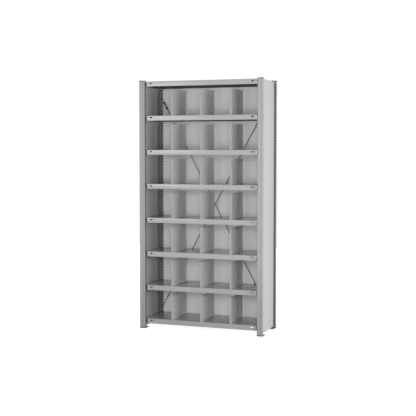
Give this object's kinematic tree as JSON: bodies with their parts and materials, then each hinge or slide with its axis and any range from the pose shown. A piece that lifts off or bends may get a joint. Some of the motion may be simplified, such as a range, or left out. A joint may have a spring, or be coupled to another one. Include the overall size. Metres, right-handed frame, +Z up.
{
  "type": "shelving unit",
  "caption": "Free-standing steel shelving unit with perforated posts, flanged shelves, plug-in dividers, closed sides and back, and a crossed rod brace with turnbuckles.",
  "frame": {"origin": "on the floor, under the centre of the unit's bounding box", "axes": "+Z up, -Y to the open front, +X to the right of someone facing the front"},
  "size_m": [1.045, 0.395, 2.01],
  "materials": {
    "post_paint": "satin powder coat",
    "shoe_plastic": "moulded, matt",
    "shelf_paint": "satin powder coat",
    "divider_paint": "satin powder coat",
    "side_sheet_paint": "satin powder coat",
    "back_sheet_paint": "satin powder coat",
    "rod_steel": "dark drawn steel",
    "bolt_steel": "bright zinc",
    "turnbuckle_steel": "dark forged steel"
  },
  "bodies": {
    "unit": {"post_front_left": "post_paint", "post_front_right": "post_paint", "post_rear_left": "post_paint", "post_rear_right": "post_paint", "post_cap_front_left": "shoe_plastic", "post_cap_front_right": "shoe_plastic", "post_cap_rear_left": "shoe_plastic", "post_cap_rear_right": "shoe_plastic", "foot_plate_front_left": "shoe_plastic", "foot_plate_front_right": "shoe_plastic", "foot_plate_rear_left": "shoe_plastic", "foot_plate_rear_right": "shoe_plastic", "shelf_1": "shelf_paint", "shelf_2": "shelf_paint", "shelf_3": "shelf_paint", "shelf_4": "shelf_paint", "shelf_5": "shelf_paint", "shelf_6": "shelf_paint", "shelf_7": "shelf_paint", "shelf_8": "shelf_paint", "divider_1_1": "divider_paint", "divider_1_2": "divider_paint", "divider_1_3": "divider_paint", "divider_2_1": "divider_paint", "divider_2_2": "divider_paint", "divider_2_3": "divider_paint", "divider_3_1": "divider_paint", "divider_3_2": "divider_paint", "divider_3_3": "divider_paint", "divider_4_1": "divider_paint", "divider_4_2": "divider_paint", "divider_4_3": "divider_paint", "divider_5_1": "divider_paint", "divider_5_2": "divider_paint", "divider_5_3": "divider_paint", "divider_6_1": "divider_paint", "divider_6_2": "divider_paint", "divider_6_3": "divider_paint", "divider_7_1": "divider_paint", "divider_7_2": "divider_paint", "divider_7_3": "divider_paint", "side_sheet_left": "side_sheet_paint", "side_sheet_right": "side_sheet_paint", "back_sheet_lower": "back_sheet_paint", "back_sheet_upper": "back_sheet_paint", "brace_rod_front_upper": "rod_steel", "brace_rod_front_lower": "rod_steel", "brace_rod_rear_upper": "rod_steel", "brace_rod_rear_lower": "rod_steel", "brace_bolt_front_upper": "bolt_steel", "brace_bolt_front_lower": "bolt_steel", "brace_bolt_rear_upper": "bolt_steel", "brace_bolt_rear_lower": "bolt_steel"},
    "turnbuckle_front": {"turnbuckle_front": "turnbuckle_steel"},
    "turnbuckle_rear": {"turnbuckle_rear": "turnbuckle_steel"}
  },
  "joints": [
    {"name": "turnbuckle_front_turn", "type": "hinge", "parent": "unit", "child": "turnbuckle_front", "pos_m": [-0.44253, 0.1696, 1.82322], "axis": [0.475, 0, -0.88], "range_deg": [-810, 450]},
    {"name": "turnbuckle_rear_turn", "type": "hinge", "parent": "unit", "child": "turnbuckle_rear", "pos_m": [0.44253, 0.1752, 1.82322], "axis": [-0.475, 0, -0.88], "range_deg": [-810, 450]}
  ]
}
